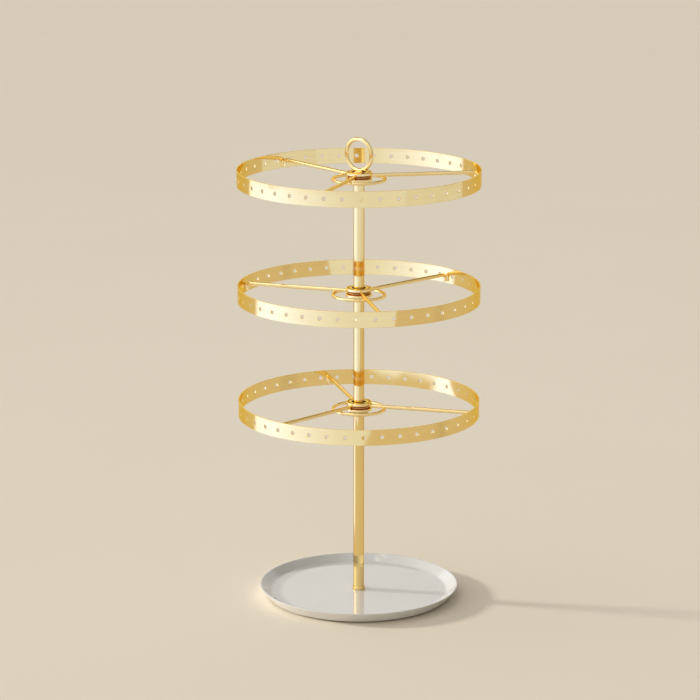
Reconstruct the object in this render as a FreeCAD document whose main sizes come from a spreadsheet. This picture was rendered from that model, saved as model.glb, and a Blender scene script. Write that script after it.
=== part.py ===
import FreeCAD, Part
import math
import os
import Sketcher

# A three-tier earring carousel. A round white dish carries a gold pole built from three tubes, and a
# perforated hoop turns about the pole at each of three levels. The origin is the centre of the footprint,
# on the table, and +Z is up. Lengths are in millimetres and angles in degrees.
#
# The pole is a stack: the lower tube stands on the dish, and each joint between tubes clamps a washer on
# which a tier rests. The height of that washer's top face is the tier's seat, and a tier is built from there.

SIZES = {
    # Dish and foot
    "pad_inset": 5.0,
    "pad_hole_diameter": 14.0,
    "pad_thickness": 0.8,
    "tray_rim_diameter": 151.0,
    "tray_flare": 6.5,
    "tray_height": 8.1,
    "tray_floor_thickness": 3.3,
    "tray_wall": 2.2,
    "tray_lip": 1.4,
    "tray_lip_round": 0.4,
    "tray_corner_round": 2.0,
    "screw_head_diameter": 8.0,
    "screw_length": 14.0,
    "screw_recess": 0.2,
    "screw_clearance": 0.2,
    "hex_key": 2.5,
    "hex_depth": 1.4,
    # Pole
    "pole_diameter": 8.0,
    "pole_wall": 1.0,
    "lower_pole_length": 138.6,
    "middle_pole_length": 86.0,
    "upper_pole_length": 86.0,
    "collar_diameter": 9.3,
    "collar_height": 2.4,
    "collar_bevel": 0.4,
    "thread_diameter": 4.0,
    "insert_length": 12.0,
    "stud_engagement": 9.0,
    "post_engagement": 5.0,
    "thread_end_gap": 0.3,
    "washer_diameter": 14.0,
    "washer_thickness": 1.0,
    # Retaining clip above each hub's bush
    "clip_diameter": 10.2,
    "clip_thickness": 0.9,
    "clip_mouth": 6.2,
    "clip_gap": 0.1,
    "groove_depth": 0.3,
    "groove_clearance": 0.05,
    # Hub and bush
    "hub_flange_diameter": 19.5,
    "hub_neck_diameter": 16.0,
    "hub_bore_diameter": 10.8,
    "hub_lower_flange": 2.1,
    "hub_upper_flange": 1.5,
    "hub_recess": 2.0,
    "bush_flange_diameter": 13.0,
    "bush_flange": 0.8,
    "bush_clearance": 0.05,
    # Spokes and stiffening ring
    "spokes_per_tier": 3,
    "spoke_diameter": 2.8,
    "spoke_bend_radius": 2.2,
    "spoke_foot": 5.4,
    "spoke_clearance": 0.1,
    "spoke_end_gap": 0.3,
    "ring_diameter": 40.8,
    "ring_wire": 2.4,
    # Hoops
    "hoop_diameter": 180.0,
    "hoop_wall": 1.0,
    "hoop_width": 11.7,
    "hoop_rise": 5.1,
    "hole_diameter": 3.0,
    "holes_per_hoop": 42,
    # Finial
    "post_rise": 0.2,
    "finial_diameter": 26.0,
    "finial_wire": 3.0,
    "finial_sink": 0.6,
    "finial_turn": -38.0,
    # How far each tier is turned at rest
    "lower_turn": -14.9,
    "middle_turn": 41.9,
    "top_turn": 9.7,
}
WIRE_SIDES = 8

doc = FreeCAD.newDocument("EarringCarousel")


def write_sheet():
    """Puts every driving dimension in a cell of its own and names the cell."""
    sheet = doc.addObject("Spreadsheet::Sheet", "Sizes")
    for row, (alias, number) in enumerate(SIZES.items(), start=1):
        sheet.set(f"A{row}", alias)
        sheet.set(f"B{row}", str(number))
        sheet.setAlias(f"B{row}", alias)
    doc.recompute()
    return sheet


sheet = write_sheet()


def size(alias):
    """The expression that reads one cell."""
    return f"Sizes.{alias}"


def half(alias):
    return f"Sizes.{alias} / 2"


def number(expression):
    """What an expression is worth now."""
    return float(sheet.evalExpression(expression.replace("Sizes.", "")))


# Heights and radii that several pieces share

TRAY_BASE = size("pad_thickness")
TRAY_BASE_RADIUS = f"({half('tray_rim_diameter')} - {size('tray_flare')})"
TRAY_FLOOR = f"({TRAY_BASE} + {size('tray_floor_thickness')})"
LOWER_SEAT = f"({TRAY_FLOOR} + {size('lower_pole_length')} + {size('washer_thickness')})"
MIDDLE_SEAT = f"({LOWER_SEAT} + {size('middle_pole_length')} + {size('washer_thickness')})"
TOP_SEAT = f"({MIDDLE_SEAT} + {size('upper_pole_length')} + {size('washer_thickness')})"
TUBE_BORE = f"({half('pole_diameter')} - {size('pole_wall')})"
NECK_HEIGHT = f"({size('spoke_diameter')} + 2 * {size('spoke_clearance')})"
HUB_HEIGHT = f"({size('hub_lower_flange')} + {NECK_HEIGHT} + {size('hub_upper_flange')})"
HUB_TOP = f"({size('bush_flange')} + {HUB_HEIGHT})"
BUSH_TOP = f"({HUB_TOP} - {size('hub_recess')})"
SPOKE_LEVEL = f"({size('bush_flange')} + {size('hub_lower_flange')} + {NECK_HEIGHT} / 2)"
CLIP_LEVEL = f"({BUSH_TOP} + {size('clip_gap')})"
GROOVE_RADIUS = f"({half('pole_diameter')} - {size('groove_depth')})"
POST_HEIGHT = f"({HUB_TOP} + {size('post_rise')})"
SECTOR = f"(360 / {size('spokes_per_tier')})"


# Building blocks


def new_body(label):
    body = doc.addObject("PartDesign::Body", label)
    body.Label = label
    return body


def origin_feature(body, role):
    return next(feature for feature in body.Origin.OriginFeatures if feature.Role == role)


def place(body, level, turn="0"):
    """Lifts a body to a level and turns it about the pole's axis."""
    body.setExpression("Placement", f"placement(vector(0; 0; {level}); vector(0; 0; 1); {turn})")


def sketch_on(body, role, name):
    sketch = body.newObject("Sketcher::SketchObject", name)
    sketch.AttachmentSupport = [(origin_feature(body, role), "")]
    sketch.MapMode = "FlatFace"
    return sketch


def fix_corner(sketch, edge, across, up):
    """Holds the start of an edge at a place given by two expressions."""
    origin = (-1, 1)
    for kind, axis, expression in (("DistanceX", -2, across), ("DistanceY", -1, up)):
        value = number(expression)
        if value == 0:
            sketch.addConstraint(Sketcher.Constraint("PointOnObject", edge, 1, axis))
        else:
            index = sketch.addConstraint(Sketcher.Constraint(kind, *origin, edge, 1, value))
            sketch.setExpression(f"Constraints[{index}]", expression)


def draw_outline(sketch, corners):
    """Joins the corners with straight edges and closes the loop."""
    points = [FreeCAD.Vector(number(across), number(up), 0) for across, up in corners]
    count = len(points)
    for index in range(count):
        sketch.addGeometry(Part.LineSegment(points[index], points[(index + 1) % count]), False)
    for index in range(count):
        sketch.addConstraint(Sketcher.Constraint("Coincident", index, 2, (index + 1) % count, 1))
    for index, (across, up) in enumerate(corners):
        fix_corner(sketch, index, across, up)


def draw_circle(sketch, radius, up="0"):
    """A circle centred on the sketch's vertical axis."""
    centre = FreeCAD.Vector(0, number(up), 0)
    circle = sketch.addGeometry(Part.Circle(centre, FreeCAD.Vector(0, 0, 1), number(radius)), False)
    sketch.addConstraint(Sketcher.Constraint("PointOnObject", circle, 3, -2))
    if number(up) == 0:
        sketch.addConstraint(Sketcher.Constraint("PointOnObject", circle, 3, -1))
    else:
        index = sketch.addConstraint(Sketcher.Constraint("DistanceY", -1, 1, circle, 3, number(up)))
        sketch.setExpression(f"Constraints[{index}]", up)
    index = sketch.addConstraint(Sketcher.Constraint("Radius", circle, number(radius)))
    sketch.setExpression(f"Constraints[{index}]", radius)


def turned(label, corners):
    """A piece turned about the Z axis from corners given as radius and height."""
    body = new_body(label)
    profile = sketch_on(body, "XZ_Plane", f"{label}_profile")
    draw_outline(profile, corners)
    turning = body.newObject("PartDesign::Revolution", f"{label}_turning")
    turning.Profile = profile
    turning.ReferenceAxis = (profile, ["V_Axis"])
    turning.Angle = 360
    profile.Visibility = False
    return body


def sleeve(label, inner, outer, height):
    """A plain tube, washer or ring of rectangular section."""
    return turned(label, [(inner, "0"), (outer, "0"), (outer, height), (inner, height)])


def cut_through(body, sketch, reverse, name):
    """Cuts a sketch through the body on one side of its plane and makes sure that it cut something."""
    doc.recompute()
    before = body.Shape.Volume
    pocket = body.newObject("PartDesign::Pocket", name)
    pocket.Profile = sketch
    pocket.Type = "ThroughAll"
    pocket.Reversed = reverse
    sketch.Visibility = False
    doc.recompute()
    if body.Shape.Volume >= before:
        raise RuntimeError(f"{name} cut nothing")
    return pocket


def around_axis(body, feature, count, name):
    """Repeats a feature evenly around the Z axis."""
    pattern = body.newObject("PartDesign::PolarPattern", name)
    pattern.Originals = [feature]
    pattern.Axis = (origin_feature(body, "Z_Axis"), [""])
    pattern.Angle = 360
    pattern.setExpression("Occurrences", count)
    body.Tip = pattern
    return pattern


def round_edges(body, radius_name, rings, name):
    """Rounds the circular edges that lie at the given radii and heights."""
    doc.recompute()
    base = body.Tip
    wanted = [(number(radius), number(height)) for radius, height in rings]
    edges = []
    for index, edge in enumerate(base.Shape.Edges, start=1):
        if not isinstance(edge.Curve, Part.Circle):
            continue
        found = (edge.Curve.Radius, edge.Curve.Center.z)
        if any(math.dist(found, ring) < 1e-6 for ring in wanted):
            edges.append(f"Edge{index}")
    fillet = body.newObject("PartDesign::Fillet", name)
    fillet.Base = (base, edges)
    fillet.setExpression("Radius", size(radius_name))


def wire_section(centre, wire):
    """Corners of a wire's cross-section, drawn with flats that touch the wire's true circle."""
    corners = []
    for side in range(WIRE_SIDES):
        angle = f"{(side + 0.5)} * 360 / {WIRE_SIDES}"
        reach = f"{half(wire)} / cos(180 / {WIRE_SIDES})"
        corners.append((f"{centre} + {reach} * cos({angle})", f"{reach} * sin({angle})"))
    return corners


# Dish and foot


def foot_pad():
    rim = f"{TRAY_BASE_RADIUS} - {size('pad_inset')}"
    place(sleeve("foot_pad", half("pad_hole_diameter"), rim, size("pad_thickness")), "0")


def tray():
    """A shallow dish with a flared wall, countersunk from below for the screw."""
    floor = size("tray_floor_thickness")
    hole = f"{half('thread_diameter')} + {size('screw_clearance')}"
    countersink = f"{half('screw_head_diameter')} + {size('screw_recess')}"
    rim_inner = f"{half('tray_rim_diameter')} - {size('tray_lip')}"
    floor_edge = f"{TRAY_BASE_RADIUS} - {size('tray_wall')}"
    corners = [
        (hole, f"({countersink}) - ({hole})"),
        (countersink, "0"),
        (TRAY_BASE_RADIUS, "0"),
        (half("tray_rim_diameter"), size("tray_height")),
        (rim_inner, size("tray_height")),
        (floor_edge, floor),
        (hole, floor),
    ]
    dish = turned("tray", corners)
    lip = [(half("tray_rim_diameter"), size("tray_height")), (rim_inner, size("tray_height"))]
    corner = [(TRAY_BASE_RADIUS, "0"), (floor_edge, floor)]
    round_edges(dish, "tray_lip_round", lip, "tray_lip_rounding")
    round_edges(dish, "tray_corner_round", corner, "tray_corner_rounding")
    place(dish, TRAY_BASE)


def base_screw():
    """A countersunk socket screw that draws the pole down on the dish."""
    shank = half("thread_diameter")
    head = half("screw_head_diameter")
    corners = [
        ("0", "0"),
        (head, "0"),
        (shank, f"{head} - {shank}"),
        (shank, size("screw_length")),
        ("0", size("screw_length")),
    ]
    screw = turned("base_screw", corners)
    socket = sketch_on(screw, "XY_Plane", "base_screw_hexagon")
    reach = f"{half('hex_key')} / cos(30)"
    draw_outline(socket, [(f"{reach} * cos({60 * k})", f"{reach} * sin({60 * k})") for k in range(6)])
    pocket = screw.newObject("PartDesign::Pocket", "base_screw_socket")
    pocket.Profile = socket
    pocket.Reversed = True
    pocket.setExpression("Length", size("hex_depth"))
    place(screw, f"{TRAY_BASE} + {size('screw_recess')}")


def foot_collar():
    """The ferrule that hides the cut end of the pole."""
    bore = half("pole_diameter")
    outer = half("collar_diameter")
    height = size("collar_height")
    bevel = size("collar_bevel")
    corners = [
        (bore, "0"),
        (outer, "0"),
        (outer, f"{height} - {bevel}"),
        (f"{outer} - {bevel}", height),
        (bore, height),
    ]
    place(turned("foot_collar", corners), TRAY_FLOOR)


# Pole


def grooved(inner, top, inner_from="0"):
    """Outline of a pole section with the clip's groove above its lower end."""
    outer = half("pole_diameter")
    groove_bottom = f"{CLIP_LEVEL} - {size('groove_clearance')}"
    groove_top = f"{CLIP_LEVEL} + {size('clip_thickness')} + {size('groove_clearance')}"
    return [
        (inner, inner_from),
        (outer, inner_from),
        (outer, groove_bottom),
        (GROOVE_RADIUS, groove_bottom),
        (GROOVE_RADIUS, groove_top),
        (outer, groove_top),
        (outer, top),
        (inner, top),
    ]


def pole_tubes():
    lower = sleeve("pole_lower", TUBE_BORE, half("pole_diameter"), size("lower_pole_length"))
    place(lower, TRAY_FLOOR)
    place(turned("pole_middle", grooved(TUBE_BORE, size("middle_pole_length"))), LOWER_SEAT)
    place(turned("pole_upper", grooved(TUBE_BORE, size("upper_pole_length"))), MIDDLE_SEAT)


def pole_insert(label, level):
    """A threaded insert pressed into one end of a tube."""
    insert = sleeve(label, half("thread_diameter"), TUBE_BORE, size("insert_length"))
    place(insert, level)


def pole_inserts():
    """One insert at each end of the three tubes, flush with the tube's end."""
    tubes = (
        ("lower", TRAY_FLOOR, "lower_pole_length"),
        ("middle", LOWER_SEAT, "middle_pole_length"),
        ("upper", MIDDLE_SEAT, "upper_pole_length"),
    )
    for tube, foot, length in tubes:
        pole_insert(f"{tube}_pole_bottom_insert", foot)
        pole_insert(f"{tube}_pole_top_insert", f"{foot} + {size(length)} - {size('insert_length')}")


def rest_washer(tier, seat):
    """Clamped in the pole's joint, and carries the tier."""
    washer = sleeve(
        f"{tier}_rest_washer", half("thread_diameter"), half("washer_diameter"), size("washer_thickness")
    )
    place(washer, f"{seat} - {size('washer_thickness')}")


def joining_stud(tier, seat, engagement):
    """A headless stud that joins the pole sections through the washer."""
    stud = doc.addObject("Part::Cylinder", f"{tier}_stud")
    stud.Label = f"{tier}_stud"
    stud.setExpression("Radius", half("thread_diameter"))
    below = f"{size('stud_engagement')} + {size('washer_thickness')}"
    stud.setExpression("Height", f"{below} + {engagement}")
    stud.setExpression("Placement.Base.z", f"{seat} - ({below})")


def retaining_clip(tier, seat):
    """A snap ring in the pole's groove that keeps the hub from lifting off its washer."""
    label = f"{tier}_retaining_clip"
    clip = sleeve(label, GROOVE_RADIUS, half("clip_diameter"), size("clip_thickness"))
    mouth = sketch_on(clip, "XZ_Plane", f"{label}_mouth")
    side = half("clip_mouth")
    height = size("clip_thickness")
    draw_outline(mouth, [(f"-{side}", "0"), (side, "0"), (side, height), (f"-{side}", height)])
    cut_through(clip, mouth, False, f"{label}_opening")
    place(clip, f"{seat} + {CLIP_LEVEL}")


# Finial


def finial_post():
    """The short top section of the pole, tapped from below, on which the top tier turns."""
    tapped = f"{size('post_engagement')} + {size('thread_end_gap')}"
    outline = grooved(half("thread_diameter"), POST_HEIGHT)
    outline[-1:] = [("0", POST_HEIGHT), ("0", tapped), (half("thread_diameter"), tapped)]
    place(turned("finial_post", outline), TOP_SEAT)


def finial_ring():
    """An upright ring with a flat where it is brazed to the post."""
    ring = new_body("finial_ring")
    section = sketch_on(ring, "XY_Plane", "finial_ring_section")
    draw_outline(section, wire_section(f"{half('finial_diameter')} - {half('finial_wire')}", "finial_wire"))
    turning = ring.newObject("PartDesign::Revolution", "finial_ring_turning")
    turning.Profile = section
    turning.ReferenceAxis = (section, ["V_Axis"])
    turning.Angle = 360
    section.Visibility = False
    flat = sketch_on(ring, "XY_Plane", "finial_ring_flat")
    flat_depth = f"{half('finial_diameter')} - {size('finial_sink')}"
    flat.setExpression("AttachmentOffset.Base.z", f"-({flat_depth})")
    draw_circle(flat, half("pole_diameter"))
    cut_through(ring, flat, False, "finial_ring_seat")
    place(ring, f"{TOP_SEAT} + {POST_HEIGHT} + {flat_depth}", size("finial_turn"))


# Tiers


def hub(tier, seat, turn):
    """A spool with a radial socket for each spoke."""
    label = f"{tier}_hub"
    bore = half("hub_bore_diameter")
    flange = half("hub_flange_diameter")
    neck = half("hub_neck_diameter")
    neck_bottom = size("hub_lower_flange")
    neck_top = f"{neck_bottom} + {NECK_HEIGHT}"
    corners = [
        (bore, "0"),
        (flange, "0"),
        (flange, neck_bottom),
        (neck, neck_bottom),
        (neck, neck_top),
        (flange, neck_top),
        (flange, HUB_HEIGHT),
        (bore, HUB_HEIGHT),
    ]
    spool = turned(label, corners)
    socket = sketch_on(spool, "YZ_Plane", f"{label}_socket")
    draw_circle(socket, half("spoke_diameter"), f"{neck_bottom} + {NECK_HEIGHT} / 2")
    drilled = cut_through(spool, socket, True, f"{label}_drilling")
    around_axis(spool, drilled, size("spokes_per_tier"), f"{label}_sockets")
    place(spool, f"{seat} + {size('bush_flange')}", turn)


def bush(tier, seat):
    """A flanged bush pressed up into the hub, which runs on the pole and rests on the washer."""
    bore = f"{half('pole_diameter')} + {size('bush_clearance')}"
    barrel = half("hub_bore_diameter")
    flange = half("bush_flange_diameter")
    corners = [
        (bore, "0"),
        (flange, "0"),
        (flange, size("bush_flange")),
        (barrel, size("bush_flange")),
        (barrel, BUSH_TOP),
        (bore, BUSH_TOP),
    ]
    place(turned(f"{tier}_bush", corners), seat)


def spoke(label, level, turn):
    """A rod from the hub to the hoop, bent down at its end to lie against the hoop's inner face."""
    rod = new_body(label)
    inner = f"{half('hub_bore_diameter')} + {size('spoke_end_gap')}"
    outer = f"{half('hoop_diameter')} - {size('hoop_wall')} - {half('spoke_diameter')}"
    bend = size("spoke_bend_radius")
    route = sketch_on(rod, "XZ_Plane", f"{label}_route")
    along = number(inner)
    reach = number(outer)
    radius = number(bend)
    foot = number(size("spoke_foot"))
    centre = FreeCAD.Vector(reach - radius, -radius, 0)
    arc = Part.ArcOfCircle(Part.Circle(centre, FreeCAD.Vector(0, 0, 1), radius), 0, math.pi / 2)
    straight = Part.LineSegment(FreeCAD.Vector(along, 0, 0), FreeCAD.Vector(reach - radius, 0, 0))
    leg = Part.LineSegment(FreeCAD.Vector(reach, -radius, 0), FreeCAD.Vector(reach, -foot, 0))
    route.addGeometry([straight, arc, leg], False)
    route.addConstraint(
        [
            Sketcher.Constraint("PointOnObject", 0, 1, -1),
            Sketcher.Constraint("Tangent", 0, 2, 1, 2),
            Sketcher.Constraint("Tangent", 1, 1, 2, 1),
            Sketcher.Constraint("Horizontal", 0),
            Sketcher.Constraint("Vertical", 2),
        ]
    )
    for constraint, expression in (
        (Sketcher.Constraint("DistanceX", -1, 1, 0, 1, along), inner),
        (Sketcher.Constraint("DistanceX", -1, 1, 2, 2, reach), outer),
        (Sketcher.Constraint("Radius", 1, radius), bend),
        (Sketcher.Constraint("DistanceY", 2, 2, -1, 1, foot), size("spoke_foot")),
    ):
        index = route.addConstraint(constraint)
        route.setExpression(f"Constraints[{index}]", expression)
    section = sketch_on(rod, "YZ_Plane", f"{label}_section")
    section.setExpression("AttachmentOffset.Base.z", inner)
    draw_circle(section, half("spoke_diameter"))
    doc.recompute()
    pipe = rod.newObject("PartDesign::AdditivePipe", f"{label}_rod")
    pipe.Profile = section
    pipe.Spine = (route, ["Edge1", "Edge2", "Edge3"])
    route.Visibility = False
    section.Visibility = False
    place(rod, level, turn)


def stiffening_ring(tier, seat):
    """A wire ring spot-welded under the spokes."""
    centre = f"{half('ring_diameter')} - {half('ring_wire')}"
    ring = turned(f"{tier}_stiffening_ring", wire_section(centre, "ring_wire"))
    place(ring, f"{seat} + {SPOKE_LEVEL} - {half('spoke_diameter')} - {half('ring_wire')}")


def hoop(tier, seat, turn):
    """A rolled band with a row of small holes for ear wires, none of them behind a spoke."""
    label = f"{tier}_hoop"
    band = new_body(label)
    ring = sketch_on(band, "XY_Plane", f"{label}_ring")
    draw_circle(ring, half("hoop_diameter"))
    draw_circle(ring, f"{half('hoop_diameter')} - {size('hoop_wall')}")
    rolled = band.newObject("PartDesign::Pad", f"{label}_band")
    rolled.Profile = ring
    rolled.setExpression("Length", size("hoop_width"))
    ring.Visibility = False
    hole = sketch_on(band, "YZ_Plane", f"{label}_hole")
    hole.setExpression("AttachmentOffset.Base.z", f"{half('hoop_diameter')} - 2 * {size('hoop_wall')}")
    draw_circle(hole, half("hole_diameter"), half("hoop_width"))
    drilled = cut_through(band, hole, True, f"{label}_drilling")
    around_axis(band, drilled, size("holes_per_hoop"), f"{label}_holes")
    level = f"{seat} + {SPOKE_LEVEL} + {size('hoop_rise')} - {size('hoop_width')}"
    place(band, level, f"{turn} + 180 / {size('holes_per_hoop')}")


def tier(name, seat, turn):
    hub(name, seat, turn)
    bush(name, seat)
    for count in range(SIZES["spokes_per_tier"]):
        spoke(f"{name}_spoke_{count + 1}", f"{seat} + {SPOKE_LEVEL}", f"{turn} + {count} * {SECTOR}")
    stiffening_ring(name, seat)
    hoop(name, seat, turn)


def check_shapes(pieces):
    """Stops the build when a feature failed or a piece has no sound solid."""
    for item in doc.Objects:
        if "Invalid" in item.State or "Error" in item.State:
            raise RuntimeError(f"{item.Label}: {item.State}")
    for piece in pieces:
        if piece.Shape.isNull() or not piece.Shape.isValid() or len(piece.Shape.Solids) != 1:
            raise RuntimeError(f"{piece.Label} is not one sound solid")


def main():
    foot_pad()
    tray()
    base_screw()
    foot_collar()
    pole_tubes()
    pole_inserts()
    seats = (("lower", LOWER_SEAT), ("middle", MIDDLE_SEAT), ("top", TOP_SEAT))
    for name, seat in seats:
        engagement = size("post_engagement") if name == "top" else size("stud_engagement")
        rest_washer(name, seat)
        joining_stud(name, seat, engagement)
        retaining_clip(name, seat)
        tier(name, seat, size(f"{name}_turn"))
    finial_post()
    finial_ring()
    doc.recompute()
    pieces = [item for item in doc.Objects if item.TypeId in ("PartDesign::Body", "Part::Cylinder")]
    check_shapes(pieces)
    os.makedirs("parts", exist_ok=True)
    for piece in pieces:
        piece.Shape.exportStep(f"parts/{piece.Label}.step")


main()
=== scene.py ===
import math

import bmesh
import bpy
from mathutils import Matrix, Vector


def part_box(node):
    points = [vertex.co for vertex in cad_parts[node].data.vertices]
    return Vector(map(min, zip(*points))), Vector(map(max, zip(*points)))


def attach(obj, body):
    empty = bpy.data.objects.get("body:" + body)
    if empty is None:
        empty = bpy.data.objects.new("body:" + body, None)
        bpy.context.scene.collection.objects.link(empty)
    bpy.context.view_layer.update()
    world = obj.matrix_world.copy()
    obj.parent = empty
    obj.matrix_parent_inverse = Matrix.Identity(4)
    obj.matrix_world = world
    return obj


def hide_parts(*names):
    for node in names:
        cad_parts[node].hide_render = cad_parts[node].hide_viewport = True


# Dresses the earring carousel: polished gold hoops, rods and pole on a glossy white dish.
# Lengths are in metres, in the frame of the solids: the footprint's centre on the table, front towards -Y.

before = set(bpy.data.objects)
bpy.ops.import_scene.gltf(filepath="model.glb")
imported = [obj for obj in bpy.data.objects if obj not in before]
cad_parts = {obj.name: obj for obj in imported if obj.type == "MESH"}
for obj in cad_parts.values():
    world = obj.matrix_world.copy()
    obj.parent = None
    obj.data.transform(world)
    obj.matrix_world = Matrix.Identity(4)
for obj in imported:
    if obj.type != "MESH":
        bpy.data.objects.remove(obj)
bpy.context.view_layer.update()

MM = 0.001
FULL_TURN = math.tau

# Sizes that pieces share. A wire's size is the radius of its section.
POLE_RADIUS = 4.0 * MM
POLE_BORE = 3.0 * MM
HUB_BORE = 5.4 * MM
SPOKE_WIRE = 1.4 * MM
SPOKE_FOOT = 5.4 * MM
RING_WIRE = 1.2 * MM
RING_RADIUS = 19.2 * MM
FINIAL_TURN = math.radians(-38)

# The degrees that each tier stands at, and the height of its spokes above its seat on the pole.
TIER_TURN = {"lower": -14.9, "middle": 41.9, "top": 9.7}
SPOKE_LEVEL = 4.4 * MM
SPOKES = 3

# The hoop's strip, made of one cell for each hole.
HOOP_RADIUS = 90.0 * MM
HOOP_WALL = 1.0 * MM
HOLE_RADIUS = 1.5 * MM
HOLES = 42
CELL_COLUMNS = 16
CELL_ROWS = 8

# An edge is sharp where its faces meet at more than this, in radians.
SHARP = 1.2


# Shaping


def only(kind, items):
    return [item for item in items if isinstance(item, kind)]


def verts_of(edges):
    return list(dict.fromkeys(vert for edge in edges for vert in edge.verts))


def circle_of(bm, radius, segments, place):
    """A ring of edges laid in place by a matrix."""
    made = bmesh.ops.create_circle(bm, segments=segments, radius=radius, matrix=place)
    return [edge for edge in bm.edges if all(vert in made["verts"] for vert in edge.verts)]


def moved_on(bm, edges, step):
    """Draws a tube on from its open end and gives the new end."""
    drawn = bmesh.ops.extrude_edge_only(bm, edges=edges)["geom"]
    verts = only(bmesh.types.BMVert, drawn)
    bmesh.ops.translate(bm, verts=verts, vec=step)
    return [edge for edge in only(bmesh.types.BMEdge, drawn) if all(vert in verts for vert in edge.verts)]


def swung_on(bm, edges, centre, axis, angle, steps):
    """Bends a tube on from its open end about an axis and gives the new end."""
    swung = bmesh.ops.spin(
        bm,
        geom=verts_of(edges) + edges,
        cent=centre,
        axis=axis,
        angle=angle,
        steps=steps,
        use_merge=False,
    )["geom_last"]
    return only(bmesh.types.BMEdge, swung)


def spun(bm, section, centre, axis, steps):
    """Sweeps a section once round an axis."""
    bmesh.ops.spin(
        bm, geom=section, cent=centre, axis=axis, angle=FULL_TURN, steps=steps, use_merge=True
    )


def thickened(bm, faces):
    """Draws a copy of some faces off them, joined by walls, and gives its vertices."""
    drawn = bmesh.ops.extrude_face_region(bm, geom=faces, use_keep_orig=True)["geom"]
    return only(bmesh.types.BMVert, drawn)


def eased(bm, reach, segments):
    """Rounds a piece's sharp edges."""
    rims = [edge for edge in bm.edges if edge.is_manifold and edge.calc_face_angle() > SHARP]
    bmesh.ops.bevel(
        bm, geom=rims, offset=reach, segments=segments, profile=0.5, affect="EDGES", material=-1
    )


def set_round(bm, angle):
    """Turns a piece about the pole's axis."""
    bmesh.ops.rotate(bm, verts=bm.verts, cent=(0, 0, 0), matrix=Matrix.Rotation(angle, 3, "Z"))


def tube_corners(inner, outer, foot, head):
    return [(inner, foot), (outer, foot), (outer, head), (inner, head)]


def turned(corners, roundings, steps=96):
    """A piece turned about the pole's axis from (radius, height) corners.

    Each rounding names some corners, by number, with their reach and segments.
    """
    bm = bmesh.new()
    verts = [bm.verts.new((radius, 0, height)) for radius, height in corners]
    for here, there in zip(verts, verts[1:] + verts[:1]):
        bm.edges.new((here, there))
    for numbers, reach, segments in roundings:
        bmesh.ops.bevel(
            bm,
            geom=[verts[number] for number in numbers],
            offset=reach,
            segments=segments,
            profile=0.5,
            affect="VERTICES",
            material=-1,
        )
    spun(bm, bm.verts[:] + bm.edges[:], (0, 0, 0), (0, 0, 1), steps)
    bmesh.ops.remove_doubles(bm, verts=bm.verts, dist=1e-7)
    return bm


def joined(bm, other):
    """Adds another closed shape to a piece."""
    mesh = bpy.data.meshes.new("joined")
    other.to_mesh(mesh)
    other.free()
    bm.from_mesh(mesh)
    bpy.data.meshes.remove(mesh)


def finished(name, bm, material, slot, body, *stands_for):
    """Makes a piece from a shape. It rides on a body, in place of the solids that it stands for."""
    bmesh.ops.recalc_face_normals(bm, faces=bm.faces)
    mesh = bpy.data.meshes.new(name)
    bm.to_mesh(mesh)
    bm.free()
    mesh.shade_smooth()
    mesh.materials.append(material)
    piece = bpy.data.objects.new(name, mesh)
    bpy.context.scene.collection.objects.link(piece)
    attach(piece, body)
    if stands_for:
        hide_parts(*stands_for)
    return piece


def crisp(piece):
    """Keeps flats flat beside their rounded edges."""
    weighted = piece.modifiers.new("flats_stay_flat", "WEIGHTED_NORMAL")
    weighted.keep_sharp = True
    weighted.weight = 60


# Nodes


def feed(tree, value, socket):
    """Sets a socket to a plain value, or links another node's output to it."""
    if isinstance(value, bpy.types.NodeSocket):
        tree.links.new(value, socket)
    else:
        socket.default_value = value


def new_group(name, inputs, outputs):
    tree = bpy.data.node_groups.new(name, "ShaderNodeTree")
    for label, kind, value in inputs:
        socket = tree.interface.new_socket(label, in_out="INPUT", socket_type=kind)
        socket.default_value = value
    for label, kind in outputs:
        tree.interface.new_socket(label, in_out="OUTPUT", socket_type=kind)
    return tree, tree.nodes.new("NodeGroupInput").outputs, tree.nodes.new("NodeGroupOutput").inputs


def noise(tree, place, scale, detail, roughness=0.5):
    node = tree.nodes.new("ShaderNodeTexNoise")
    feed(tree, place, node.inputs["Vector"])
    feed(tree, scale, node.inputs["Scale"])
    feed(tree, detail, node.inputs["Detail"])
    feed(tree, roughness, node.inputs["Roughness"])
    return node.outputs["Fac"]


def stretched(tree, place, scale, turn=(0, 0, 0)):
    node = tree.nodes.new("ShaderNodeMapping")
    feed(tree, place, node.inputs["Vector"])
    feed(tree, turn, node.inputs["Rotation"])
    feed(tree, scale, node.inputs["Scale"])
    return node.outputs["Vector"]


def combined(tree, kind, total, *values):
    """Adds, multiplies or compares values, one after the other."""
    for value in values:
        node = tree.nodes.new("ShaderNodeMath")
        node.operation = kind
        feed(tree, total, node.inputs[0])
        feed(tree, value, node.inputs[1])
        total = node.outputs[0]
    return total


def axes_of(tree, place):
    node = tree.nodes.new("ShaderNodeSeparateXYZ")
    feed(tree, place, node.inputs["Vector"])
    return node.outputs


def distance(tree, across, along):
    """How far a point is from the pole's axis."""
    squares = [combined(tree, "MULTIPLY", value, value) for value in (across, along)]
    return combined(tree, "SQRT", combined(tree, "ADD", *squares), 0)


def spread(tree, value, low, high, to_low, to_high):
    """Stretches a band of values over another range."""
    node = tree.nodes.new("ShaderNodeMapRange")
    node.interpolation_type = "SMOOTHSTEP"
    feed(tree, value, node.inputs["Value"])
    feed(tree, low, node.inputs["From Min"])
    feed(tree, high, node.inputs["From Max"])
    feed(tree, to_low, node.inputs["To Min"])
    feed(tree, to_high, node.inputs["To Max"])
    return node.outputs["Result"]


def rising(tree, value, low, high):
    return spread(tree, value, low, high, 0.0, 1.0)


def falling(tree, value, low, high):
    return spread(tree, value, low, high, 1.0, 0.0)


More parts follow.
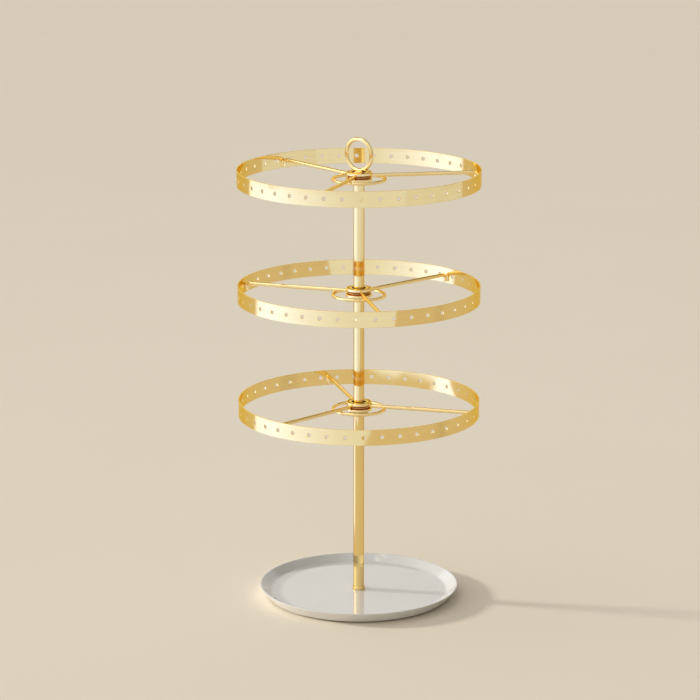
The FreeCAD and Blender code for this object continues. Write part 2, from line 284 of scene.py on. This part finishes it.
def blended(tree, share, first, second):
    """One colour laid over another by a mask."""
    node = tree.nodes.new("ShaderNodeMix")
    node.data_type = "RGBA"
    feed(tree, share, node.inputs["Factor"])
    feed(tree, first, node.inputs["A"])
    feed(tree, second, node.inputs["B"])
    return node.outputs["Result"]


# Finishes

COLOUR = "NodeSocketColor"
NUMBER = "NodeSocketFloat"
VECTOR = "NodeSocketVector"
WHITE = (1, 1, 1, 1)


def tone_group():
    """Two shades of one finish in soft drifting patches."""
    tree, given, result = new_group(
        "tone_drift",
        [
            ("Place", VECTOR, (0, 0, 0)),
            ("Main Shade", COLOUR, WHITE),
            ("Other Shade", COLOUR, WHITE),
            ("Patches per Metre", NUMBER, 30),
            ("Share", NUMBER, 0.5),
        ],
        [("Colour", COLOUR)],
    )
    clouds = noise(tree, given["Place"], given["Patches per Metre"], 3)
    patches = spread(tree, clouds, 0.35, 0.7, 0.0, given["Share"])
    feed(tree, blended(tree, patches, given["Main Shade"], given["Other Shade"]), result["Colour"])
    return tree


def polish_group():
    """How dull a surface is: an even polish, with finger smudges and hairline scratches."""
    tree, given, result = new_group(
        "polish_marks",
        [
            ("Place", VECTOR, (0, 0, 0)),
            ("Polish", NUMBER, 0.1),
            ("Smudges", NUMBER, 0.05),
            ("Scratches", NUMBER, 0.05),
        ],
        [("Roughness", NUMBER)],
    )
    place = given["Place"]
    smudges = spread(tree, noise(tree, place, 70, 4, 0.6), 0.5, 0.75, 0.0, given["Smudges"])
    hairs = noise(tree, stretched(tree, place, (2600, 2600, 60), (0.4, 0.7, 0.2)), 1, 2)
    scratches = spread(tree, hairs, 0.66, 0.74, 0.0, given["Scratches"])
    feed(tree, combined(tree, "ADD", given["Polish"], smudges, scratches), result["Roughness"])
    return tree


def ripple_group():
    """Faint unevenness of a polished or coated surface, as a height in metres."""
    tree, given, result = new_group(
        "surface_ripple",
        [
            ("Place", VECTOR, (0, 0, 0)),
            ("Ripples per Metre", NUMBER, 100),
            ("Depth", NUMBER, 0.00001),
        ],
        [("Height", NUMBER)],
    )
    waves = noise(tree, given["Place"], given["Ripples per Metre"], 2)
    feed(tree, combined(tree, "MULTIPLY", waves, given["Depth"]), result["Height"])
    return tree


TONE = tone_group()
POLISH = polish_group()
RIPPLE = ripple_group()


class Finish:
    """A material with its shader and object coordinates, to which effects are added."""

    def __init__(self, name, **shader):
        self.material = bpy.data.materials.new(name)
        self.material.use_nodes = True
        self.tree = self.material.node_tree
        self.shader = self.tree.nodes["Principled BSDF"]
        for label, value in shader.items():
            self.shader.inputs[label.replace("_", " ")].default_value = value
        self.place = self.tree.nodes.new("ShaderNodeTexCoord").outputs["Object"]

    def given(self, label, value):
        feed(self.tree, value, self.shader.inputs[label])
        return self

    def effect(self, group, **values):
        node = self.tree.nodes.new("ShaderNodeGroup")
        node.node_tree = group
        self.tree.links.new(self.place, node.inputs["Place"])
        for label, value in values.items():
            node.inputs[label.replace("_", " ")].default_value = value
        return node.outputs[0]

    def drift(self, main, other, patches, share):
        return self.effect(TONE, Main_Shade=main, Other_Shade=other, Patches_per_Metre=patches, Share=share)

    def marks(self, polish, smudges, scratches):
        return self.effect(POLISH, Polish=polish, Smudges=smudges, Scratches=scratches)

    def waves(self, ripples, depth):
        return self.effect(RIPPLE, Ripples_per_Metre=ripples, Depth=depth)

    def tone(self, main, other, patches, share):
        return self.given("Base Color", self.drift(main, other, patches, share))

    def polish(self, polish, smudges, scratches):
        return self.given("Roughness", self.marks(polish, smudges, scratches))

    def ripple(self, ripples, depth):
        return self.relief(self.waves(ripples, depth))

    def relief(self, height):
        bump = self.tree.nodes.new("ShaderNodeBump")
        bump.inputs["Distance"].default_value = 1.0
        self.tree.links.new(height, bump.inputs["Height"])
        return self.given("Normal", bump.outputs["Normal"])


PALE_GOLD = (0.95, 0.74, 0.325, 1)
GOLD = (0.93, 0.71, 0.30, 1)
DEEP_GOLD = (0.90, 0.665, 0.255, 1)
WIRE_GOLD = (0.96, 0.77, 0.38, 1)
# Painted shade: the dark brown that the hubs' grooves take in place of their shade.
GROOVE_PAINTED_SHADE = (0.42, 0.13, 0.03, 1)

# The tint that each gold takes where it is seen at a slant.
STRIP_EDGE = (1.0, 0.8, 0.3, 1)
TUBE_EDGE = (0.72, 0.45, 0.13, 1)
WIRE_EDGE = (1.0, 0.78, 0.32, 1)


def polished_gold():
    """The plated tubes of the pole, buffed after assembly."""
    finish = Finish("polished_gold", Metallic=1.0, Specular_Tint=TUBE_EDGE)
    finish.tone(GOLD, DEEP_GOLD, 35, 0.5).polish(0.05, 0.05, 0.05).ripple(160, 0.000006)
    return finish.material


def wire_gold():
    """The plated round wire of the spokes and rings."""
    finish = Finish("wire_gold", Metallic=1.0, Specular_Tint=WIRE_EDGE)
    finish.tone(WIRE_GOLD, GOLD, 45, 0.6).polish(0.05, 0.06, 0.05).ripple(220, 0.000006)
    return finish.material


def rolled_gold():
    """The plated strip of the hoops, with the faint lines that rolling leaves along it."""
    finish = Finish("rolled_gold", Metallic=1.0, Specular_Tint=STRIP_EDGE)
    tree = finish.tree
    lines = noise(tree, stretched(tree, finish.place, (10, 10, 2400)), 1, 2)
    deeper = spread(tree, lines, 0.42, 0.68, 0.0, 0.6)
    finish.given("Base Color", blended(tree, deeper, finish.drift(PALE_GOLD, GOLD, 22, 0.7), DEEP_GOLD))
    line_depth = combined(tree, "MULTIPLY", lines, 0.0000012)
    finish.relief(combined(tree, "ADD", line_depth, finish.waves(60, 0.000025)))
    return finish.polish(0.045, 0.04, 0.04).material


def turned_gold():
    """The plated hubs, whose narrow grooves stay dull where no buff can reach, and are darkened by painted
    shade.
    """
    finish = Finish("turned_gold", Metallic=1.0, Specular_Tint=STRIP_EDGE)
    tree = finish.tree
    axes = axes_of(tree, finish.place)
    reach = distance(tree, axes["X"], axes["Y"])
    inside_rim = falling(tree, reach, 8.1 * MM, 9.0 * MM)
    outside_bore = rising(tree, reach, 7.3 * MM, 7.6 * MM)
    groove = combined(tree, "MULTIPLY", inside_rim, outside_bore)
    dull = combined(tree, "MULTIPLY", groove, 0.3)
    finish.given("Roughness", combined(tree, "ADD", finish.marks(0.06, 0.05, 0.06), dull))
    # Painted shade: the band of neck and bead between the flanges turns dark brown, standing in for its shade.
    finish.given("Base Color", blended(tree, groove, finish.drift(WIRE_GOLD, GOLD, 60, 0.5), GROOVE_PAINTED_SHADE))
    return finish.ripple(160, 0.000006).material


def white_enamel():
    """The gloss coat of the dish."""
    finish = Finish("white_enamel", Coat_Weight=1.0, Coat_Roughness=0.03, IOR=1.5)
    finish.tone((0.80, 0.795, 0.775, 1), (0.765, 0.76, 0.74, 1), 25, 0.6)
    return finish.polish(0.09, 0.06, 0.03).ripple(70, 0.00001).material


def black_nylon():
    """The bushes, and the caps that also stand in for the shade at the hubs' mouths."""
    finish = Finish("black_nylon", IOR=1.53, Specular_IOR_Level=0.03)
    finish.tone((0.012, 0.012, 0.013, 1), (0.022, 0.021, 0.02, 1), 300, 0.8)
    return finish.polish(0.42, 0.1, 0.08).ripple(900, 0.00001).material


def black_steel():
    """The snap rings."""
    finish = Finish("black_steel", Metallic=0.6)
    finish.tone((0.03, 0.03, 0.032, 1), (0.055, 0.05, 0.046, 1), 260, 0.7)
    return finish.polish(0.3, 0.1, 0.12).ripple(700, 0.000006).material


def zinc_steel():
    """The washers and screws in yellow zinc, which is duller than the gold."""
    finish = Finish("zinc_steel", Metallic=1.0)
    finish.tone((0.50, 0.36, 0.12, 1), (0.40, 0.29, 0.10, 1), 180, 0.7)
    return finish.polish(0.25, 0.12, 0.15).ripple(600, 0.000006).material


def foot_rubber():
    """The pad under the dish."""
    finish = Finish("foot_rubber", IOR=1.5)
    finish.tone((0.03, 0.03, 0.03, 1), (0.05, 0.048, 0.046, 1), 120, 0.8)
    return finish.polish(0.7, 0.1, 0.05).ripple(1500, 0.00004).material


FINISHES = {
    "gold_metal": polished_gold(),
    "white_enamel": white_enamel(),
    "black_nylon": black_nylon(),
    "black_steel": black_steel(),
    "steel": zinc_steel(),
    "foot_rubber": foot_rubber(),
}
HOOP_FINISH = rolled_gold()
HUB_FINISH = turned_gold()
WIRE_FINISH = wire_gold()


def finish_solids():
    """Gives every solid that stays in view the finish of its slot."""
    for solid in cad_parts.values():
        solid.data.materials[0] = FINISHES[solid.data.materials[0].name]


# Dish and pole


def tray():
    """The dish, with a flared wall, a thin lip and a countersunk hole for the screw."""
    low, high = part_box("tray")
    rim = high.x
    base = rim - 6.5 * MM
    floor_level = low.z + 3.3 * MM
    floor_edge = base - 2.2 * MM
    lip = rim - 1.4 * MM
    hole = 2.2 * MM
    corners = [
        (hole, low.z + 2.0 * MM),
        (hole + 2.0 * MM, low.z),
        (base, low.z),
        (rim, high.z),
        (lip, high.z),
        (floor_edge, floor_level),
        (hole, floor_level),
    ]
    roundings = [((3,), 0.7 * MM, 5), ((4,), 0.45 * MM, 5), ((5,), 1.2 * MM, 8), ((2,), 1.2 * MM, 6)]
    bm = turned(corners, roundings, 256)
    crisp(finished("tray_dish", bm, FINISHES["white_enamel"], "white_enamel", "stand", "tray"))


def pole():
    """The tubes of the pole, their ends eased."""
    for node in ("pole_lower", "pole_middle", "pole_upper"):
        low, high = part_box(node)
        bm = turned(tube_corners(POLE_BORE, POLE_RADIUS, low.z, high.z), [((1, 2), 0.15 * MM, 2)])
        crisp(finished(f"{node}_tube", bm, FINISHES["gold_metal"], "gold_metal", "stand", node))


def foot_collar():
    """The ferrule round the pole's foot, its upper edge well rounded."""
    low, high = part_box("foot_collar")
    corners = tube_corners(POLE_RADIUS, high.x, low.z, high.z)
    bm = turned(corners, [((2,), 0.7 * MM, 5), ((1,), 0.2 * MM, 2)])
    crisp(finished("foot_ferrule", bm, FINISHES["gold_metal"], "gold_metal", "stand", "foot_collar"))


def finial():
    """An upright ring of round wire."""
    wire = 1.5 * MM
    outside = 13.0 * MM
    centre = Vector((0, 0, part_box("finial_ring")[1].z - outside))
    bm = bmesh.new()
    section = circle_of(bm, wire, 24, Matrix.Translation(centre + Vector((outside - wire, 0, 0))))
    spun(bm, verts_of(section) + section, centre, (0, 1, 0), 112)
    set_round(bm, FINIAL_TURN)
    finished("finial_loop", bm, WIRE_FINISH, "gold_metal", "stand", "finial_ring")


def finial_stub():
    """The top of the pole, its edge eased, with the braze that holds the ring."""
    low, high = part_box("finial_post")
    bm = turned(tube_corners(0, POLE_RADIUS, low.z, high.z), [((2,), 0.6 * MM, 5)])
    braze = bmesh.new()
    mound = Matrix.Rotation(FINIAL_TURN, 4, "Z") @ Matrix.Diagonal((3.3 * MM, 2.1 * MM, 1.0 * MM, 1))
    bmesh.ops.create_uvsphere(braze, u_segments=32, v_segments=16, radius=1, matrix=mound)
    bmesh.ops.translate(braze, verts=braze.verts, vec=(0, 0, high.z - 0.1 * MM))
    joined(bm, braze)
    crisp(finished("finial_stub", bm, FINISHES["gold_metal"], "gold_metal", "stand", "finial_post"))


# Tiers


def hub(tier, seat):
    """A turned spool with softened flanges and a bead between two grooves."""
    neck = 7.9 * MM
    bead = 8.5 * MM
    flange = 9.75 * MM
    foot = seat + 0.8 * MM
    lower = foot + 2.0 * MM
    upper = lower + 2.4 * MM
    head = upper + 2.2 * MM
    groove = 0.75 * MM
    corners = [
        (HUB_BORE, foot),
        (flange, foot),
        (flange, lower),
        (neck, lower),
        (neck, lower + groove),
        (bead, lower + groove),
        (bead, upper - groove),
        (neck, upper - groove),
        (neck, upper),
        (flange, upper),
        (flange, head),
        (HUB_BORE, head),
    ]
    roundings = [
        ((1, 2), 0.7 * MM, 5),
        ((9, 10), 0.6 * MM, 5),
        ((3, 4, 7, 8), 0.25 * MM, 3),
        ((5, 6), 0.35 * MM, 5),
        ((11,), 0.3 * MM, 3),
    ]
    bm = turned(corners, roundings)
    crisp(finished(f"{tier}_hub_spool", bm, HUB_FINISH, "gold_metal", f"{tier}_tier", f"{tier}_hub"))


def cap_with_mouth_shade(tier, seat):
    """A black nylon cap over the clip, nearly flush with the hub. Its flat black also stands in for the shade
    in the gap round the pole.
    """
    corners = tube_corners(4.2 * MM, 5.38 * MM, seat + 6.55 * MM, seat + 7.25 * MM)
    bm = turned(corners, [((2, 3), 0.12 * MM, 2)])
    # Painted shade: the matt black cap fills the hub's mouth, where the gap round the pole lies in shade.
    crisp(finished(f"{tier}_cap_with_mouth_shade", bm, FINISHES["black_nylon"], "black_nylon", f"{tier}_tier"))


def spoke_turn(tier, number):
    return math.radians(TIER_TURN[tier]) + (number - 1) * FULL_TURN / SPOKES


def spoke(tier, number, level):
    """A rod from the hub that turns down behind the hoop."""
    start = 5.7 * MM
    reach = 87.6 * MM
    bend = 2.2 * MM
    bm = bmesh.new()
    lying = Matrix.Rotation(math.pi / 2, 4, "Y")
    end = circle_of(bm, SPOKE_WIRE, 24, Matrix.Translation((start, 0, level)) @ lying)
    end = moved_on(bm, end, (reach - bend - start, 0, 0))
    end = swung_on(bm, end, (reach - bend, 0, level - bend), (0, 1, 0), math.pi / 2, 8)
    moved_on(bm, end, (0, 0, bend - SPOKE_FOOT))
    bmesh.ops.holes_fill(bm, edges=bm.edges, sides=0)
    eased(bm, 0.4 * MM, 3)
    set_round(bm, spoke_turn(tier, number))
    node = f"{tier}_spoke_{number}"
    crisp(finished(f"{node}_rod", bm, WIRE_FINISH, "gold_metal", f"{tier}_tier", node))


def foot_weld(tier, number, level):
    """The weld that runs down both sides of a rod's foot, against the hoop."""
    foot_end = level - SPOKE_FOOT + 0.5 * MM
    half = [(89.06, 2.05), (88.86, 1.6), (88.55, 1.3), (88.1, 1.2), (87.5, 0.9)]
    plan = half + [(across, -along) for across, along in reversed(half)]
    bm = bmesh.new()
    base = bm.faces.new([bm.verts.new((across * MM, along * MM, foot_end)) for across, along in plan])
    bmesh.ops.translate(bm, verts=thickened(bm, [base]), vec=(0, 0, 4.3 * MM))
    eased(bm, 0.3 * MM, 3)
    set_round(bm, spoke_turn(tier, number))
    crisp(finished(f"{tier}_foot_weld_{number}", bm, WIRE_FINISH, "gold_metal", f"{tier}_tier"))


def ring_weld(tier, number, level):
    """The spot of braze between a rod and the stiffening ring under it."""
    middle = level - SPOKE_WIRE
    half = 0.7 * MM
    wide = 1.3 * MM
    corners = [
        (0, middle - half),
        (wide, middle - half),
        (0.85 * MM, middle),
        (wide, middle + half),
        (0, middle + half),
    ]
    bm = turned(corners, [((2,), 0.6 * MM, 6), ((1, 3), 0.2 * MM, 3)], 32)
    bmesh.ops.translate(bm, verts=bm.verts, vec=(RING_RADIUS, 0, 0))
    set_round(bm, spoke_turn(tier, number))
    finished(f"{tier}_ring_weld_{number}", bm, WIRE_FINISH, "gold_metal", f"{tier}_tier")


def stiffening_ring(tier):
    """The ring of round wire that the rods are brazed to."""
    low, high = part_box(f"{tier}_stiffening_ring")
    upright = Matrix.Rotation(math.pi / 2, 4, "X")
    place = Matrix.Translation((RING_RADIUS, 0, (low.z + high.z) / 2)) @ upright
    bm = bmesh.new()
    section = circle_of(bm, RING_WIRE, 20, place)
    spun(bm, verts_of(section) + section, (0, 0, 0), (0, 0, 1), 128)
    finished(f"{tier}_ring_wire", bm, WIRE_FINISH, "gold_metal", f"{tier}_tier", f"{tier}_stiffening_ring")


def hoop_cell(low, high):
    """One hole's length of the strip, rolled to the hoop's outer face."""
    pitch = FULL_TURN * HOOP_RADIUS / HOLES
    width = high - low
    bm = bmesh.new()
    lay = Matrix.Diagonal((pitch / 2, width / 2, 1, 1))
    bmesh.ops.create_grid(bm, x_segments=CELL_COLUMNS, y_segments=CELL_ROWS, size=1, matrix=lay)

    def central(place, share):
        return abs(place.x) < pitch * share and abs(place.y) < width * share

    window = [face for face in bm.faces if central(face.calc_center_median(), 0.25)]
    bmesh.ops.delete(bm, geom=window, context="FACES")
    rim = [edge for edge in bm.edges if edge.is_boundary and all(central(v.co, 0.3) for v in edge.verts)]
    for reach in (HOLE_RADIUS + 0.9 * MM, HOLE_RADIUS + 0.25 * MM, HOLE_RADIUS):
        rim = moved_on(bm, rim, (0, 0, 0))
        for vert in verts_of(rim):
            vert.co = vert.co.normalized() * reach
    for vert in bm.verts:
        around = Matrix.Rotation(vert.co.x / HOOP_RADIUS, 3, "Z")
        vert.co = around @ Vector((HOOP_RADIUS, 0, (low + high) / 2 + vert.co.y))
    return bm


def truly_round(mesh):
    """Turns the shading of the strip's two faces straight out from the pole, as rolling leaves it."""
    directions = [Vector((0, 0, 0))] * len(mesh.loops)
    for face in mesh.polygons:
        for loop in face.loop_indices:
            out = mesh.vertices[mesh.loops[loop].vertex_index].co.copy()
            out.z = 0
            out.normalize()
            across = face.normal.dot(out)
            if abs(across) > 0.98:
                directions[loop] = out if across > 0 else -out
    mesh.normals_split_custom_set(directions)


def hoop(tier):
    """A rolled strip with a row of drilled holes, its edges eased."""
    low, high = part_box(f"{tier}_hoop")
    bm = hoop_cell(low.z, high.z)
    bmesh.ops.spin(
        bm,
        geom=bm.verts[:] + bm.edges[:] + bm.faces[:],
        cent=(0, 0, 0),
        axis=(0, 0, 1),
        angle=FULL_TURN * (HOLES - 1) / HOLES,
        steps=HOLES - 1,
        use_duplicate=True,
    )
    bmesh.ops.remove_doubles(bm, verts=bm.verts, dist=0.02 * MM)
    shrink = (HOOP_RADIUS - HOOP_WALL) / HOOP_RADIUS
    bmesh.ops.scale(bm, verts=thickened(bm, bm.faces[:]), vec=(shrink, shrink, 1))
    bmesh.ops.recalc_face_normals(bm, faces=bm.faces)
    eased(bm, 0.14 * MM, 2)
    set_round(bm, math.radians(TIER_TURN[tier]) + FULL_TURN / HOLES / 2)
    strip = finished(f"{tier}_hoop_strip", bm, HOOP_FINISH, "gold_metal", f"{tier}_tier", f"{tier}_hoop")
    truly_round(strip.data)


def tier(name):
    """One tier round the pole, built up from the seat of its bush."""
    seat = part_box(f"{name}_bush")[0].z
    level = seat + SPOKE_LEVEL
    hub(name, seat)
    cap_with_mouth_shade(name, seat)
    for number in range(1, SPOKES + 1):
        spoke(name, number, level)
        foot_weld(name, number, level)
        ring_weld(name, number, level)
    stiffening_ring(name)
    hoop(name)


# Studio

# The camera's place in metres, its tilt in degrees and its lens in millimetres.
CAMERA_DISTANCE = 2.151
CAMERA_HEIGHT = 0.7181
CAMERA_PITCH = 13.783
CAMERA_YAW = 0.176
LENS = 153.1

WINDOW_STRENGTH = 2.1
WINDOW_WARMTH = (1.0, 0.98, 0.95)
WINDOW_DIRECTION = (1.0, -0.2, -0.32)

BACKDROP = 0.76
LOW_BACKDROP = (0.925, 0.85, 0.73, 1)
HIGH_BACKDROP = (1.1, 1.12, 1.2, 1)
DIM_BACKDROP = (0.42, 0.31, 0.19, 1)
ROOM_LIGHT = (1.0, 0.985, 0.96, 1)

FRONT_BOARD = (0.14, 0.30, 0.68, 1)
SIDE_BOARD = (0.53, 0.84, 2.1, 1)
FRONT_BOARD_FACES = (0.504, 0.863)

FLOOR_RADIUS = 12


def camera():
    lens = bpy.data.cameras.new("camera")
    lens.lens = LENS
    lens.sensor_width = 36
    lens.clip_end = 50
    viewer = bpy.data.objects.new("camera", lens)
    viewer.location = (0, -CAMERA_DISTANCE, CAMERA_HEIGHT)
    viewer.rotation_euler = (math.radians(90 - CAMERA_PITCH), 0, math.radians(CAMERA_YAW))
    bpy.context.scene.collection.objects.link(viewer)
    bpy.context.scene.camera = viewer


def area_lamp(name, place, target, width, height, radiance):
    """A flat soft box that faces a point. Its radiance is what a mirror would show."""
    light = bpy.data.lights.new(name, "AREA")
    light.shape = "RECTANGLE"
    light.size = width
    light.size_y = height
    light.energy = radiance * width * height * math.pi
    box = bpy.data.objects.new(name, light)
    box.location = place
    facing = Vector(target) - Vector(place)
    box.rotation_euler = facing.to_track_quat("-Z", "Y").to_euler()
    box.visible_camera = False
    bpy.context.scene.collection.objects.link(box)
    return box


def window_light():
    """Soft light from the left, far enough off to be even over the whole floor."""
    light = bpy.data.lights.new("window_light", "SUN")
    light.energy = WINDOW_STRENGTH
    light.color = WINDOW_WARMTH
    light.angle = math.radians(6)
    lamp = bpy.data.objects.new("window_light", light)
    lamp.visible_glossy = False
    lamp.rotation_euler = Vector(WINDOW_DIRECTION).to_track_quat("-Z", "Y").to_euler()
    bpy.context.scene.collection.objects.link(lamp)


def bright_boards():
    """Boards that lie on the floor at the front and the sides. Only shiny pieces see them."""
    boards = area_lamp("bright_boards", (0, -0.5, 0.004), (0, -0.5, 1), 3.6, 2.9, 1.0)
    boards.visible_diffuse = False
    boards.data.use_nodes = True
    tree = boards.data.node_tree
    axes = axes_of(tree, tree.nodes.new("ShaderNodeNewGeometry").outputs["Position"])
    left = combined(tree, "MULTIPLY", axes["X"], -1)
    near = combined(tree, "MULTIPLY", axes["Y"], -1)

    # Each board's edges, in radians round the pole from the front to the left and in metres from the pole.
    angle = combined(tree, "ARCTAN2", left, near)
    reach = distance(tree, left, near)
    facing = [combined(tree, "MULTIPLY", value, share) for value, share in zip((left, near), FRONT_BOARD_FACES)]
    ahead = rising(tree, combined(tree, "ADD", *facing), 0.46, 0.50)
    beside = combined(tree, "MULTIPLY", rising(tree, angle, 0.45, 0.7), rising(tree, reach, 0.48, 0.54))
    close_by = combined(tree, "MULTIPLY", rising(tree, angle, 1.35, 1.65), rising(tree, reach, 0.12, 0.20))
    around = combined(
        tree, "MULTIPLY", rising(tree, angle, -1.96, -1.88), rising(tree, reach, 1.1, 1.25), 0.75
    )
    laid = combined(tree, "MAXIMUM", ahead, beside, close_by, around)

    # The boards end at the left, and those nearest and furthest from the pole end a little later.
    later = combined(tree, "ADD", rising(tree, reach, 1.19, 1.24), falling(tree, reach, 0.46, 0.52))
    end = combined(tree, "ADD", combined(tree, "MULTIPLY", later, 0.22), 1.82)
    laid = combined(tree, "MULTIPLY", laid, falling(tree, angle, end, combined(tree, "ADD", end, 0.16)))

    side = combined(tree, "MAXIMUM", combined(tree, "DIVIDE", angle, 1.47), 0)
    emission = tree.nodes["Emission"]
    colour = blended(tree, combined(tree, "POWER", side, 1.6), FRONT_BOARD, SIDE_BOARD)
    feed(tree, colour, emission.inputs["Color"])
    feed(tree, laid, emission.inputs["Strength"])


def lamps():
    window_light()
    bright_boards()
    area_lamp("top_soft_box", (-0.5, 0.1, 1.5), (0, 0, 0.3), 0.5, 0.5, 1.6)


def floor():
    bm = bmesh.new()
    bmesh.ops.create_circle(bm, cap_ends=True, segments=128, radius=FLOOR_RADIUS)
    bmesh.ops.inset_region(bm, faces=bm.faces[:], thickness=FLOOR_RADIUS / 2)
    mesh = bpy.data.meshes.new("studio_floor")
    bm.to_mesh(mesh)
    bm.free()
    ground = bpy.data.objects.new("studio_floor", mesh)
    bpy.context.scene.collection.objects.link(ground)
    paint = Finish("studio_paint", Specular_IOR_Level=0.1)
    paint.tone((0.965, 0.87, 0.715, 1), (0.955, 0.86, 0.705, 1), 3, 1.0).polish(0.7, 0.05, 0.0)
    mesh.materials.append(paint.material)


def backdrop_colour(tree, axes, shiny):
    """Cooler with height. Shiny pieces see it dim above and behind them."""
    colour = blended(tree, rising(tree, axes["Z"], 0.15, 0.7), LOW_BACKDROP, HIGH_BACKDROP)
    above = rising(tree, axes["Z"], 0.46, 0.58)
    behind = rising(tree, axes["Y"], 0.0, 0.3)
    return blended(tree, combined(tree, "MULTIPLY", above, behind, shiny), colour, DIM_BACKDROP)


def backdrop_strength(tree, axes, shiny):
    """Even, but shiny pieces see the window at the left and less light at the right."""
    towards = combined(tree, "SUBTRACT", combined(tree, "MULTIPLY", axes["Z"], 0.33), axes["X"])
    window = spread(tree, towards, 0.90, 1.0, 0.0, 1.3)
    side = spread(tree, axes["X"], -1, 1, 1.15 - BACKDROP, 0.55 - BACKDROP)
    seen = combined(tree, "MULTIPLY", combined(tree, "ADD", window, side), shiny)
    return combined(tree, "ADD", seen, BACKDROP)


def surroundings():
    """Light from the room, stronger from the left, and a backdrop that the camera and shiny pieces see."""
    world = bpy.data.worlds.new("room")
    bpy.context.scene.world = world
    world.use_nodes = True
    tree = world.node_tree
    axes = axes_of(tree, tree.nodes.new("ShaderNodeTexCoord").outputs["Generated"])
    path = tree.nodes.new("ShaderNodeLightPath").outputs
    shiny = path["Is Glossy Ray"]
    backdrop = tree.nodes["Background"]
    feed(tree, backdrop_colour(tree, axes, shiny), backdrop.inputs["Color"])
    feed(tree, backdrop_strength(tree, axes, shiny), backdrop.inputs["Strength"])
    room = tree.nodes.new("ShaderNodeBackground")
    feed(tree, ROOM_LIGHT, room.inputs["Color"])
    feed(tree, spread(tree, axes["X"], -1, 1, 0.86, 0.14), room.inputs["Strength"])
    mixed = tree.nodes.new("ShaderNodeMixShader")
    seen = combined(tree, "MAXIMUM", path["Is Camera Ray"], shiny, path["Is Transmission Ray"])
    feed(tree, seen, mixed.inputs["Fac"])
    feed(tree, room.outputs["Background"], mixed.inputs[1])
    feed(tree, backdrop.outputs["Background"], mixed.inputs[2])
    feed(tree, mixed.outputs["Shader"], tree.nodes["World Output"].inputs["Surface"])


def studio():
    camera()
    lamps()
    floor()
    surroundings()
    bpy.context.scene.view_settings.view_transform = "Standard"


finish_solids()
tray()
pole()
foot_collar()
finial()
finial_stub()
for name in TIER_TURN:
    tier(name)
studio()
